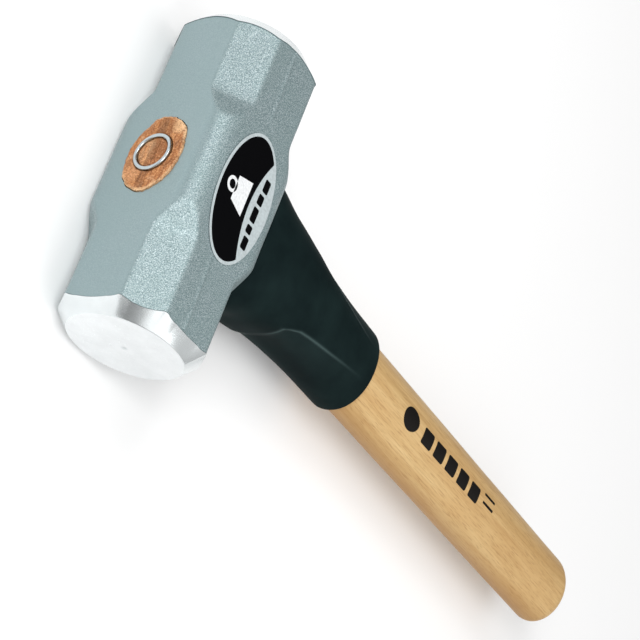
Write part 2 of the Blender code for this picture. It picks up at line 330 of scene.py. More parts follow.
def ground_steel(name, tone, roughness, grind):
    """Bright steel with fine grinding lines, and a dull centre mark on the head's axis."""
    n = MaterialNodes(name)
    lines = n.noise(n.place((1.0, 60.0, 1.0)), scale=grind, detail=2.0)
    cloud = n.noise(n.place(), scale=90.0, detail=3.0)
    colour = n.mix(n.between(cloud, 0.35, 0.7, to_high=0.5), tone, dimmed(tone, 0.86))
    rough = n.between(lines, 0.3, 0.7, roughness * 0.8, roughness * 1.25)
    off_axis = n.measure("LENGTH", n.place((1.0, 0.0, 1.0), (0.0, 0.0, -CENTRE.z)))
    ragged = n.sums("ADD", off_axis, n.sums("MULTIPLY", cloud, 0.0008))
    mark = n.between(ragged, 0.0022, 0.0008, to_high=0.4)
    marked = n.mix(mark, colour, rgb(150, 158, 160))
    relief = n.bump(lines, distance=0.00003, strength=0.4)
    return n.finish(marked, rough, relief, Metallic=1.0)


def hickory():
    """Clear-lacquered hickory: long fine grain with short pores, and painted shade along one edge.
    """
    n = MaterialNodes("handle_hickory")
    bands = n.noise(n.place((0.06, 1.0, 1.0)), scale=130.0, detail=4.0, distortion=0.5)
    cloud = n.noise(n.place((0.3, 1.0, 1.0)), scale=45.0, detail=3.0, roughness=0.5)
    fibre = n.noise(n.place((0.04, 1.0, 1.0)), scale=1100.0, detail=3.0, roughness=0.65)
    pores = n.noise(n.place((0.06, 1.0, 1.0)), scale=2300.0, detail=1.0, roughness=0.5)
    base = n.ramp(n.between(bands, 0.3, 0.7),
                  rgb(192, 156, 104), rgb(209, 175, 122), rgb(220, 190, 138))
    toned = n.mix(n.between(cloud, 0.38, 0.68, to_high=0.45), base, rgb(198, 155, 100))
    threads = n.mix(n.between(fibre, 0.44, 0.72, to_high=0.42), toned, rgb(176, 132, 80))
    dashes = n.mix(n.between(pores, 0.56, 0.70, to_high=0.42), threads, rgb(150, 108, 62))
    # Painted shade: a browner band towards the side that faces -Y and down.
    _, across, height = n.axes(n.place())
    toward = n.sums("ADD", n.sums("MULTIPLY", across, -1.0), n.sums("MULTIPLY", height, -0.55))
    edge = n.between(toward, -0.0050, 0.0070, to_high=0.80)
    painted_edge_shade = n.mix(edge, dashes, rgb(158, 110, 52))
    rough = n.between(fibre, 0.3, 0.7, 0.38, 0.5)
    relief = n.bump(fibre, distance=0.00005, strength=0.4)
    return n.finish(painted_edge_shade, rough, relief, Specular_IOR_Level=0.2)


# Paler and darker patches of the trimmed end: place (y, z), radius, share and colour.
END_GRAIN_PATCHES = (
    (0.0142, 0.0096, 0.0056, 0.75, (232, 188, 140)),
    (0.0125, 0.0030, 0.0050, 0.50, (138, 88, 48)),
    (-0.0100, -0.0072, 0.0066, 0.50, (220, 164, 116)),
    (-0.0015, -0.0036, 0.0050, 0.45, (218, 166, 118)),
    (0.0025, 0.0032, 0.0048, 0.40, (140, 86, 46)),
)


def end_grain(name, light):
    """Sawn and trimmed end grain, stained copper brown with paler torn patches.  The light is
    the share of that tone which is kept: below 1 for the darker wedge."""
    n = MaterialNodes(name)
    place = n.place()
    rings = n.noise(n.place((1.0, 0.35, 1.6)), scale=330.0, detail=3.0, distortion=0.8)
    patch = n.noise(place, scale=120.0, detail=3.0, distortion=0.5)
    dots = n.noise(place, scale=1500.0, detail=2.0)
    base = n.ramp(n.between(rings, 0.3, 0.7),
                  rgb(122, 72, 38), rgb(178, 114, 66), rgb(206, 146, 92))
    pale = n.mix(n.between(patch, 0.56, 0.68, to_high=0.6), base, rgb(212, 170, 128))
    patched = n.mix(n.between(patch, 0.44, 0.34, to_high=0.6), pale, rgb(132, 80, 42))
    for y, z, radius, share, tone in END_GRAIN_PATCHES:
        away = n.measure("DISTANCE", place, (-HALF, y, CENTRE.z + z))
        ragged = n.sums("ADD", away, n.sums("MULTIPLY", n.sums("SUBTRACT", dots, 0.5), 0.004))
        inside = n.between(ragged, radius, 0.6 * radius, to_high=share)
        patched = n.mix(inside, patched, rgb(*tone))
    half_width = EYE_MOUTH * OVAL_RATIO
    oval = n.measure("LENGTH", n.place((0.0, 1.0 / EYE_MOUTH, 1.0 / half_width),
                                       (0.0, 0.0, -CENTRE.z / half_width)))
    frayed = n.sums("ADD", oval, n.sums("MULTIPLY", patch, 0.22))
    # Paler fringe round the edge: torn fibres, and in part a painted highlight where the raised
    # edge catches the light.
    torn_and_lit = n.mix(n.between(frayed, 0.99, 1.08, to_high=0.8), patched, rgb(236, 198, 154))
    fibres = n.mix(n.between(dots, 0.46, 0.32, to_high=0.45), torn_and_lit, rgb(234, 188, 142))
    pitted = n.mix(n.between(dots, 0.50, 0.66, to_high=0.7), fibres, rgb(112, 64, 32))
    toned = n.mix(1.0, pitted, (light, light, light, 1.0), "MULTIPLY")
    coarse = n.bump(rings, distance=0.0004, strength=0.6)
    relief = n.bump(dots, distance=0.0003, strength=0.7, normal=coarse)
    return n.finish(toned, 0.62, relief, Specular_IOR_Level=0.3)


def moulded_rubber():
    """Black guard rubber with a faint green cast and a fine moulded grain, paler by a painted
    highlight where an attribute of the sleeve's mesh gives one."""
    n = MaterialNodes("sleeve_rubber")
    place = n.place()
    grain = n.noise(place, scale=1800.0, detail=2.0)
    bloom = n.noise(place, scale=35.0, detail=4.0)
    colour = n.mix(n.between(bloom, 0.35, 0.7), rgb(18, 28, 29), rgb(27, 40, 40))
    painted_highlight = n.add("ShaderNodeAttribute", output="Fac", attribute_name="painted_highlight")
    # Painted highlight: paler rubber along the ridge, the panel below it and the fold.
    highlighted = n.mix(painted_highlight, colour, rgb(84, 104, 103))
    rough = n.between(bloom, 0.3, 0.7, 0.42, 0.52)
    relief = n.bump(grain, distance=0.00005, strength=0.5)
    return n.finish(highlighted, rough, relief, Specular_IOR_Level=0.008)


def printed(name, colour, roughness=0.4, specular=0.2):
    """Ink, film or bare coat with a slight mottle."""
    n = MaterialNodes(name)
    mottle = n.noise(n.place(), scale=900.0, detail=2.0)
    toned = n.mix(n.between(mottle, 0.35, 0.7), colour, dimmed(colour, 0.82))
    relief = n.bump(mottle, distance=0.00002, strength=0.4)
    return n.finish(toned, roughness, relief, Specular_IOR_Level=specular)


# ---- Head --------------------------------------------------------------------------------------

# Distances from the head's axis, square to a facet, to the facet itself and to the rounded edge
# of the middle block above it.
FACET_ACROSS = np.array([CHEEK_FLAT - HALF, HALF - EYE_SIDE_FLAT])
FACET_NORMAL = np.array([FACET_ACROSS[1], -FACET_ACROSS[0]]) / np.linalg.norm(FACET_ACROSS)
FACET = float(FACET_NORMAL @ np.array([HALF, EYE_SIDE_FLAT]))
BLOCK_EDGE = float(FACET_NORMAL.sum()) * (HALF - BLOCK_EDGE_RADIUS) + BLOCK_EDGE_RADIUS

HEAD_MATERIALS = ("coat", "bevel", "face", "rim", "eye_wall_shade")
ZONE_ORDER = ("coat", "rim", "face", "bevel")    # a band between two zones is of the earlier one
SCALLOP_DEGREES = (15, 35, 55, 75)      # where a rim's dip changes from side to facet to cheek


def block_radius(c, s):
    """Distance from the axis to a square bar with rounded long edges, in direction (c, s)."""
    inner = HALF - BLOCK_EDGE_RADIUS
    flat = HALF / np.maximum(c, s)
    reach = c + s
    under = np.maximum((inner * reach) ** 2 - (2.0 * inner ** 2 - BLOCK_EDGE_RADIUS ** 2), 0.0)
    rounded = inner * reach + np.sqrt(under)
    return np.where(flat * np.minimum(c, s) < inner, flat, rounded)


def body_radius(angle, y):
    """Distance from the head's axis to the forged surface at an angle and a place along it."""
    c = np.abs(np.cos(angle))
    s = np.abs(np.sin(angle))
    slope = (BLOCK_EDGE - FACET) / (RAMP_FOOT - BLOCK_END)
    above = (RAMP_FOOT - np.abs(y)) * slope
    ramp = (FACET + 0.5 * (above + np.sqrt(above ** 2 + RAMP_SOFTNESS ** 2))
            - 0.25 * RAMP_SOFTNESS)
    facet = ramp / (FACET_NORMAL[0] * c + FACET_NORMAL[1] * s)
    return smooth_min(block_radius(c, s), facet, EDGE_SOFTNESS)


def corner_curve(before, corner, after, steps):
    """Points of a small rounding between two edges that meet at a corner."""
    curve = []
    for i in range(steps + 1):
        t = i / steps
        curve.append((1 - t) ** 2 * before + 2 * t * (1 - t) * corner + t ** 2 * after)
    return curve


def head_rows(angles, scallop):
    """Rings of one half of the head, from its middle to the centre of its face, as (radius, y)
    pairs, with the names of the zones that the rings belong to."""

    def even_ring(radius, y):
        return np.stack([np.full_like(angles, radius), np.full_like(angles, y)], axis=-1)

    end_radius = body_radius(angles, HEAD_END)
    corner = math.hypot(HALF, EYE_SIDE_FLAT)
    share = np.interp(folded_degrees(angles), SCALLOP_DEGREES,
                      (scallop[0], scallop[1], scallop[1], scallop[2]))
    setback = BEVEL_SLOPE * (corner - FACE_RADIUS - share * np.maximum(corner - end_radius, 0.0))
    rim_y = HEAD_END - setback
    rim = np.stack([end_radius, rim_y], axis=-1)
    face = even_ring(FACE_RADIUS, HEAD_END)
    down = rim - face
    down /= np.linalg.norm(down, axis=-1, keepdims=True)
    rows = []
    zones = []
    body_steps = 76
    for i in range(body_steps):
        y = (rim_y - RIM_LINE) * (i / body_steps)
        rows.append(np.stack([body_radius(angles, y), y], axis=-1))
        zones.append("coat")
    rows.append(np.stack([end_radius, rim_y - RIM_LINE], axis=-1))
    zones.append("rim")
    near_face = face + down * FACE_ROUNDING
    bevel_steps = 8
    for i in range(bevel_steps):
        t = i / bevel_steps
        rows.append(rim * (1 - t) + near_face * t)
        zones.append("bevel")
    inside = even_ring(FACE_RADIUS - FACE_ROUNDING, HEAD_END)
    face_curve = corner_curve(near_face, face, inside, 4)
    bevel_rings = 3
    rows += face_curve
    zones += ["bevel"] * bevel_rings + ["face"] * (len(face_curve) - bevel_rings)
    for radius in FACE_RINGS:
        crown = FACE_CROWN * (1.0 - (radius / FACE_RADIUS) ** 2)
        dimple = DIMPLE_DEPTH * max(0.0, 1.0 - radius / DIMPLE_RADIUS)
        rows.append(even_ring(radius, HEAD_END + crown - dimple))
        zones.append("face")
    return rows, zones


def parting_ridge(points, y):
    """Height of the faint forging seam that runs along both cheeks, a little off their middle."""
    height = 0.0003
    width = 0.0008
    off_middle = 0.0028
    sway = 0.0008
    sways_per_metre = 60.0
    start = 0.034               # the seam rises from here, over the length of its fade
    fade = 0.006
    cheek_edge = 0.001
    wander = sway * np.sin(y * sways_per_metre) - off_middle
    across = points[..., 0] - wander
    on_end = np.clip((np.abs(y) - start) / fade, 0.0, 1.0)
    on_cheek = np.clip((np.abs(points[..., 2]) - HALF * 0.9) / cheek_edge, 0.0, 1.0)
    return height * np.exp(-(across / width) ** 2) * on_end * on_cheek


def head_mesh():
    """The whole head, with a material for each zone; its coat is a little uneven and sunk."""
    count = 288
    waviness = 0.00007
    wave_length = 0.03
    wave_seed = 5
    lowered = 1.2               # the waves swing about a level this many times deeper
    sunk = 0.00022
    angles = ring_angles(count)
    near_rows, _ = head_rows(angles, NEAR_SCALLOP)
    far_rows, zones = head_rows(angles, FAR_SCALLOP)
    rows = [row * np.array([1.0, -1.0]) for row in reversed(near_rows[1:])] + far_rows
    zones = list(reversed(zones[1:])) + zones

    def around(radius, y):
        return np.stack([radius * np.cos(angles), y, radius * np.sin(angles)], axis=-1)

    points = []
    for row, zone in zip(rows, zones):
        radius = row[:, 0]
        y = row[:, 1]
        ring = around(radius, y)
        if zone in ("coat", "rim"):
            waves = smooth_noise(ring, wave_length, wave_seed)
            hollow = waviness * (waves - lowered) - sunk
            radius = radius + hollow + parting_ridge(ring, y)
            radius = np.minimum(radius, HALF / np.maximum(np.abs(np.cos(angles)),
                                                          np.abs(np.sin(angles))))
            ring = around(radius, y)
        points.append(ring)
    mesh = grid_mesh("head_forging", points, closed=True)
    indices = np.full(len(mesh.polygons), HEAD_MATERIALS.index("face"), dtype=np.int32)
    for row in range(len(zones) - 1):
        zone = min(zones[row], zones[row + 1], key=ZONE_ORDER.index)
        indices[row * count:(row + 1) * count] = HEAD_MATERIALS.index(zone)
    mesh.polygons.foreach_set("material_index", indices)
    mesh.transform(Matrix.Translation(CENTRE))
    return mesh


# The trimmed end of the handle, in shares of the eye's oval and in degrees round it.
TRIMMED_SHARE = 0.972
SWELLINGS = ((0.055, 48.0, 14.0), (0.045, 176.0, 13.0))     # share, middle and width
PAINTED_SHARE = 0.085           # the coat runs over the wood between two angles
PAINTED_START = (243.0, 5.0)    # angle, and how gradually
PAINTED_STOP = (333.0, 2.5)
TEARS = ((0.006, 0.9, 31), (0.010, 0.16, 32), (0.007, 0.07, 33))    # share, scale and seed


def trimmed_outline(count):
    """Points (y, z) of the trimmed end of the handle: the eye's oval, swollen at two places,
    painted over along one side, and torn at the edge."""
    angles = ring_angles(count)
    degrees = np.degrees(angles)
    started = 1.0 + np.exp(-(degrees - PAINTED_START[0]) / PAINTED_START[1])
    stopped = 1.0 + np.exp((degrees - PAINTED_STOP[0]) / PAINTED_STOP[1])
    circle = np.stack([np.cos(angles), np.sin(angles), 0.0 * angles], axis=-1)
    share = TRIMMED_SHARE
    for amount, middle, width in SWELLINGS:
        away = (degrees - middle + 180.0) % 360.0 - 180.0
        share = share + amount * np.exp(-(away / width) ** 2)
    share -= PAINTED_SHARE * (1.0 / started / stopped)
    share += sum(amount * smooth_noise(circle, scale, seed) for amount, scale, seed in TEARS)
    half = EYE_MOUTH * share
    return np.stack([half * np.cos(angles), half * OVAL_RATIO * np.sin(angles)], axis=-1)


def eye_cutter():
    """A plug that opens the eye: the trimmed outline at the mouth, an oval below it, with a
    waist at the middle of the head."""
    count = 240
    past = 0.002                # how far the plug stands out of the head
    angles = ring_angles(count)
    outline = trimmed_outline(count)
    oval = np.stack([np.cos(angles), OVAL_RATIO * np.sin(angles)], axis=-1)
    rows = []
    for x, section in ((-HALF - past, outline),
                       (-HALF + 0.0015, outline),
                       (-HALF + 0.004, (EYE_MOUTH - 0.0005) * oval),
                       (0.0, (EYE_MOUTH - 0.0017) * oval),
                       (HALF + past, (EYE_MOUTH - 0.0009) * oval)):
        rows.append(np.column_stack([np.full(count, x), section]))
    mesh = grid_mesh("eye_cutter", rows, closed=True)
    mesh.transform(Matrix.Translation(CENTRE))
    return mesh


def build_head(materials):
    """The head with its eye cut through; the materials are in the order of HEAD_MATERIALS."""
    head = new_piece("head_forging", head_mesh(), materials, "head")
    cutter = bpy.data.objects.new("eye_cutter", eye_cutter())
    bpy.context.scene.collection.objects.link(cutter)
    cut = head.modifiers.new("Eye", "BOOLEAN")
    cut.object = cutter
    cut.solver = "EXACT"
    bpy.context.view_layer.update()
    depsgraph = bpy.context.evaluated_depsgraph_get()
    mesh = bpy.data.meshes.new_from_object(head.evaluated_get(depsgraph))
    sharp = 34.0
    mesh.set_sharp_from_angle(angle=math.radians(sharp))
    past_mouth = 1.12           # the eye's wall is looked for within this share of the mouth
    skin = 0.0005
    for polygon in mesh.polygons:
        away = polygon.center - CENTRE
        in_oval = math.hypot(away.y, away.z / OVAL_RATIO) < EYE_MOUTH * past_mouth
        if in_oval and abs(away.x) < HALF - skin:
            # The eye's wall is coloured dark: painted shadow in the gap round the wood.
            polygon.material_index = HEAD_MATERIALS.index("eye_wall_shade")
    head.modifiers.clear()
    head.data = mesh
    bpy.data.objects.remove(cutter)


# ---- Handle ------------------------------------------------------------------------------------

def build_handle(wood):
    """The shaft from inside the sleeve to the rounded butt, slightly uneven."""
    angles = ring_angles(160)
    play = 0.00005              # below the CAD handle at the sleeve, and a little more
    taper = 0.0001              # at the butt
    butt_play = 0.00015
    start = SLEEVE_LOW.x + 0.004
    rows = []
    shaft_steps = 79
    for i in range(shaft_steps + 1):
        x = start + (BUTT - BUTT_RADIUS - start) * i / shaft_steps
        rows.append(oval_ring(x, GRIP - play - taper * (i / shaft_steps), angles))
    round_steps = 14
    for i in range(1, round_steps + 1):
        angle = math.pi / 2 * i / round_steps
        half = GRIP - butt_play - BUTT_RADIUS * (1.0 - math.cos(angle))
        rows.append(oval_ring(BUTT - BUTT_RADIUS * (1.0 - math.sin(angle)), half, angles))
    flat = GRIP - BUTT_RADIUS
    for share in (0.8, 0.5, 0.2):
        rows.append(oval_ring(BUTT, flat * share, angles))
    rows = np.array(rows)
    uneven = 0.003
    rows[..., 1:] *= (1.0 + uneven * smooth_noise(rows, 0.05, 3))[..., None]
    limit = np.array([GRIP, GRIP * OVAL_RATIO])
    rows[..., 1:] = np.clip(rows[..., 1:], -limit, limit)
    mesh = grid_mesh("handle_shaft", rows, closed=True)
    mesh.transform(Matrix.Translation(CENTRE))
    new_piece("handle_shaft", mesh, [wood], "handle")


def build_end_grain(wood):
    """The trimmed end of the handle in the eye, with the ring's groove in it."""
    count = 240
    top = TRIMMED_END + 0.00015
    groove = 0.0018
    thickness = 0.0030
    sawn = 0.00014              # depth of the saw marks, and of the pores
    pores = 0.00008
    angles = ring_angles(count)
    gap = 0.977                 # the wood is this share of the opening in the head
    outline = trimmed_outline(count) * gap
    circle = np.stack([np.cos(angles), np.sin(angles)], axis=-1)
    profile = [(0.0005, 0.0), (0.002, 0.0), (0.004, 0.0), (0.006, 0.0),
               (RING_INNER - RING_MARGIN, 0.0), (RING_INNER - 0.0004, 0.0002),
               (RING_INNER - 0.0003, groove), (RING_OUTER + 0.0003, groove),
               (RING_OUTER + 0.0004, 0.0002), (RING_OUTER + RING_MARGIN, 0.0)]
    rows = [np.column_stack([np.full(count, top + depth), circle * radius])
            for radius, depth in profile]
    last = circle * (RING_OUTER + RING_MARGIN)
    # From the ring's margin to the outline: share of the way, and how far the edge has dropped.
    for share, drop in ((0.15, 0.0), (0.3, 0.0), (0.45, 0.0), (0.6, 0.0), (0.75, 0.0),
                        (0.87, 0.00003), (0.95, 0.0001), (1.0, 0.0003)):
        ring = last + (outline - last) * share
        rows.append(np.column_stack([np.full(count, top + drop), ring]))
    rows.append(np.column_stack([np.full(count, top + thickness), outline]))
    rows = np.array(rows)
    relief = sawn * smooth_noise(rows, 0.008, 21) + pores * smooth_noise(rows, 0.0022, 22)
    rows[..., 0] += np.maximum(relief, -sawn)
    mesh = grid_mesh("handle_end_grain", rows, closed=True, sharp=50.0)
    mesh.transform(Matrix.Translation(CENTRE))
    new_piece("handle_end_grain", mesh, [wood])


def build_wedge_strip(wood):
    """The top of the wood wedge, which shows as a narrow strip along the eye."""
    top = TRIMMED_END + 0.00003
    thickness = 0.0012
    half = (WEDGE_HIGH.z - WEDGE_LOW.z) / 2
    outer_end = RING_OUTER + RING_MARGIN
    inner_end = RING_INNER - 0.0007
    reach = EYE_MOUTH * 0.9
    ripple = 0.06               # share of the width by which the strip's edges waver
    steps = 16
    bm = bmesh.new()
    for start, stop in ((-reach, -outer_end), (-inner_end, inner_end), (outer_end, reach)):
        lines = []
        for side in (-1.0, 1.0):
            line = []
            for i in range(steps + 1):
                y = start + (stop - start) * i / steps
                width = half * (1.0 - ripple * math.sin(900.0 * y + side))
                line.append(bm.verts.new((top, y, side * width)))
            lines.append(line)
        for i in range(steps):
            bm.faces.new((lines[0][i], lines[0][i + 1], lines[1][i + 1], lines[1][i]))
    extruded = bmesh.ops.extrude_face_region(bm, geom=list(bm.faces))
    moved = [v for v in extruded["geom"] if isinstance(v, bmesh.types.BMVert)]
    bmesh.ops.translate(bm, verts=moved, vec=(thickness, 0.0, 0.0))
    mesh = mesh_from(bm, "wedge_strip")
    mesh.transform(Matrix.Translation(CENTRE))
    new_piece("wedge_strip", mesh, [wood], "wood_wedge")


def build_ring(steel):
    """The steel ring, turned with softly rounded edges."""
    top = RING_LOW.x
    foot = top + 0.009
    soft = 0.0006
    steps = 5
    profile = [(RING_OUTER, foot), (RING_OUTER, top + soft)]
    for i in range(1, steps + 1):
        angle = math.pi / 2 * i / steps
        profile.append((RING_OUTER - soft * (1 - math.cos(angle)),
                        top + soft * (1 - math.sin(angle))))
    for i in range(steps, -1, -1):
        angle = math.pi / 2 * i / steps
        profile.append((RING_INNER + soft * (1 - math.cos(angle)),
                        top + soft * (1 - math.sin(angle))))
    profile.append((RING_INNER, foot))
    angles = ring_angles(128)
    rows = [np.stack([np.full(len(angles), x), r * np.cos(angles), r * np.sin(angles)], axis=-1)
            for r, x in profile]
    rows.append(rows[0])
    mesh = grid_mesh("ring_wedge_fine", rows)
    mesh.transform(Matrix.Translation(CENTRE))
    new_piece("ring_wedge_fine", mesh, [steel], "ring_wedge")


# ---- Guard sleeve ------------------------------------------------------------------------------

# Distance from the head's centre, half length, half thickness and squareness of each section.
SLEEVE_STATIONS = (
    (0.0302, 0.0363, 0.0235, 2.50),
    (0.0372, 0.0348, 0.0235, 2.60),
    (0.0505, 0.0300, 0.0233, 2.75),
    (0.0625, 0.0277, 0.0225, 2.90),
    (0.0803, 0.0241, 0.0214, 3.10),
    (0.0980, 0.0232, 0.0205, 2.70),
    (0.1190, 0.0234, 0.0194, 2.30),
    (0.1442, 0.0232, 0.0181, 2.15),
)
# The ridge's angle above the side, in degrees, and the depth of the scoop, along the sleeve.
RIDGE_X = (0.072, 0.076, 0.082, 0.089, 0.108, 0.134)
RIDGE_DEGREES = (34, 39, 45, 47.5, 53, 62)
SCOOP_X = (0.071, 0.077, 0.115, 0.141)
SCOOP_DEPTH = (0.0, 0.0012, 0.0010, 0.0)
BEAD_WIDTH = 2.6                # degrees, of the bead along the ridge and its glint
GLINT_WIDTH = 1.7
FOLD_X = 0.0735                 # the fold crosses the side here, up to an angle in degrees
FOLD_WIDTH = 0.0010
FOLD_TOP = 37.0
# Strengths of a painted highlight on the sleeve: a glint along the ridge, a paler panel below it
# and a glint along the fold.
PAINTED_GLINT = 0.60
PAINTED_PANEL_LIGHT = 0.07
PAINTED_FOLD_GLINT = 0.45


def sleeve_station(place):
    """Sleeve section at a place counted in stations, on a smooth curve through all of them."""
    last = len(SLEEVE_STATIONS) - 1
    index = min(int(place), last - 1)
    t = place - index
    p0, p1, p2, p3 = (np.array(SLEEVE_STATIONS[min(max(index + k, 0), last)])
                      for k in (-1, 0, 1, 2))
    bend = 2.0 * p0 - 5.0 * p1 + 4.0 * p2 - p3
    twist = 3.0 * (p1 - p2) + p3 - p0
    return p1 + 0.5 * t * ((p2 - p0) + t * (bend + t * twist))


def side_panel(x, angle):
    """Shift of the sleeve's skin, and its painted highlight: behind a fold the two sides are
    scooped flat, below a ridge that climbs towards the cheeks and dies out near the lower end."""
    folded = folded_degrees(angle)
    ridge = np.interp(x, RIDGE_X, RIDGE_DEGREES)
    far_side = np.cos(angle) > 0.0
    far_share = 0.4             # the far side is scooped less
    depth = np.interp(x, SCOOP_X, SCOOP_DEPTH) * np.where(far_side, far_share, 1.0)
    below = smooth_step((ridge - folded) / 7.0 + 0.35)
    bead = np.exp(-((folded - ridge - 0.5) / BEAD_WIDTH) ** 2)
    shift = -depth * below + 0.25 * depth * bead
    fades = smooth_step((x - 0.070) / 0.008) * smooth_step((0.139 - x) / 0.045)
    glint = np.exp(-((folded - ridge + 0.5) / GLINT_WIDTH) ** 2)
    fold = np.exp(-((x - FOLD_X) / FOLD_WIDTH) ** 2) * smooth_step((FOLD_TOP - folded) / 4.0)
    panel = PAINTED_PANEL_LIGHT * below * smooth_step((folded - 4.0) / 25.0)
    on_fold = PAINTED_FOLD_GLINT * fold * smooth_step(folded / 30.0)
    painted_highlight = fades * (PAINTED_GLINT * glint + panel) + on_fold
    return shift, painted_highlight


def build_sleeve(rubber):
    """The sleeve's skin with rounded lips, and its bore around the handle."""
    count = 288
    steps = 24                  # rings from one station to the next
    lip = 0.0014
    wall = 0.0006
    bore = GRIP + 0.0003
    angles = ring_angles(count)
    rows = []
    painted_highlight = []
    for i in range(steps * (len(SLEEVE_STATIONS) - 1) + 1):
        x, length, thickness, square = sleeve_station(i / steps)
        from_end = min(x - SLEEVE_LOW.x, SLEEVE_HIGH.x - x)
        inset = lip - math.sqrt(max(lip ** 2 - max(lip - from_end, 0.0) ** 2, 0.0))
        y = np.abs(np.cos(angles)) ** (2.0 / square) * np.sign(np.cos(angles))
        z = np.abs(np.sin(angles)) ** (2.0 / square) * np.sign(np.sin(angles))
        ring = np.stack([np.full(count, x), y * (length - inset), z * (thickness - inset)], axis=-1)
        around = np.arctan2(ring[:, 2], ring[:, 1])
        outward = ring[:, 1:] / np.linalg.norm(ring[:, 1:], axis=1, keepdims=True)
        shift, shine = side_panel(x, around)
        ring[:, 1:] += outward * shift[:, None]
        rows.append(ring)
        painted_highlight.append(shine)
    # Back through the bore, with a flared edge at the end where the handle comes out.
    for x, half in ((SLEEVE_HIGH.x - 0.0002, GRIP + 0.0012),
                    (SLEEVE_HIGH.x - 0.001, GRIP + 0.0004),
                    (SLEEVE_HIGH.x - 0.02, bore), (SLEEVE_LOW.x + 0.02, bore),
                    (SLEEVE_LOW.x + wall, bore)):
        rows.append(oval_ring(x, half, angles))
        painted_highlight.append(np.zeros(count))
    rows.append(rows[0])
    painted_highlight.append(painted_highlight[0])
    mesh = grid_mesh("sleeve_skin", rows)
    # The painted highlight is stored on the mesh as an attribute that the rubber's colour reads.
    attribute = mesh.attributes.new("painted_highlight", "FLOAT", "POINT")
    attribute.data.foreach_set("value", np.concatenate(painted_highlight).astype(np.float32))
    mesh.transform(Matrix.Translation(CENTRE))
    new_piece("sleeve_skin", mesh, [rubber], "guard_sleeve")


# ---- Label and printed marks -------------------------------------------------------------------

# Heights of the label's layers: the film stands on the cheek, the field and the print on it.
LABEL_GAP = 0.00005
FILM = 0.00012
FIELD = 0.00006
PRINT = 0.00005

# The black field stops inside the border, and at an arc that leaves a silver part.
BORDER = 0.0015
ARC_END_X = 0.0095
ARC_HALF = 0.0235
ARC_BULGE = 0.0050

# A plain weight: a trapezoid under a ring, upright towards the eye side.
WEIGHT_OUTLINE = ((0.0020, -0.0105), (0.0020, 0.0065), (-0.0075, 0.0038), (-0.0075, -0.0078))
WEIGHT_RING_CENTRE = (-0.0098, -0.0020)
WEIGHT_RING_RADIUS = 0.0036
WEIGHT_RING_WALL = 0.0015

# A row of plain bars along the silver part, on a slightly bent line.
BAR_LENGTHS = (0.0060, 0.0040, 0.0072, 0.0050, 0.0062)
BAR_WIDTH = 0.0039
BAR_CORNER = 0.4                # share of the shorter half that the rounded corners take
BAR_GAP = 0.0016
BAR_START = -0.0210
BAR_LINE = 0.0101
BAR_BEND = 0.000004             # metres per square millimetre from the top of the bend
BAR_BEND_TOP = 3.0              # millimetres

# Marks along the handle: a disc, plain blocks and two thin lines, as (x, y) places and sizes.
DISC_CENTRE = (0.1880, -0.0012)
DISC_HALVES = (0.0075, 0.0058)
BLOCKS = 5
BLOCK_FIRST = 0.2065
BLOCK_STEP = 0.0136
BLOCK_Y = -0.0018
BLOCK_SIZE = (0.0084, 0.0100)
BLOCK_CORNER = 0.25
LINE_X = 0.2770
LINE_YS = (0.0030, -0.0016)
LINE_SIZE = (0.0013, 0.0115)


def plate(name, outline, low, high, material, node=None):
    """A thin flat plate with a given outline of (x, y) points."""
    bm = bmesh.new()
    bottom = [bm.verts.new((x, y, low)) for x, y in outline]
    top = [bm.verts.new((x, y, high)) for x, y in outline]
    bm.faces.new(top)
    bm.faces.new(list(reversed(bottom)))
    count = len(outline)
    for i in range(count):
        j = (i + 1) % count
        bm.faces.new((bottom[i], bottom[j], top[j], top[i]))
    new_piece(name, mesh_from(bm, name), [material], node)


def oval_outline(centre, halves, count):
    """Outline of an oval across Z, from its centre and its halves along X and Y."""
    turns = [2.0 * math.pi * i / count for i in range(count)]
    return [(centre[0] + halves[0] * math.cos(a), centre[1] + halves[1] * math.sin(a))
            for a in turns]


def rounded_bar(centre, size, corner):
    """Outline of a bar with rounded corners, from its sizes along Y and X and the share of its
    shorter half that the corners take."""
    length, width = size
    radius = min(length, width) / 2 * corner
    steps = 5
    points = []
    for quarter in range(4):
        side_x = 1 if quarter in (0, 3) else -1
        side_y = 1 if quarter in (0, 1) else -1
        for i in range(steps + 1):
            angle = math.pi / 2 * (quarter + i / steps)
            x = side_x * (width / 2 - radius) + radius * math.cos(angle)
            y = side_y * (length / 2 - radius) + radius * math.sin(angle)
            points.append((centre[0] + x, centre[1] + y))
    return points


def ring_band(name, centre, radius, wall, low, high, material):
    """A flat printed ring."""
    angles = ring_angles(48)
    inner = radius - wall
    rows = []
    for r, z in ((radius, low), (radius, high), (inner, high), (inner, low), (radius, low)):
        rows.append(np.stack([centre[0] + r * np.cos(angles), centre[1] + r * np.sin(angles),
                              np.full(len(angles), z)], axis=-1))
    new_piece(name, grid_mesh(name, rows, sharp=30.0), [material])


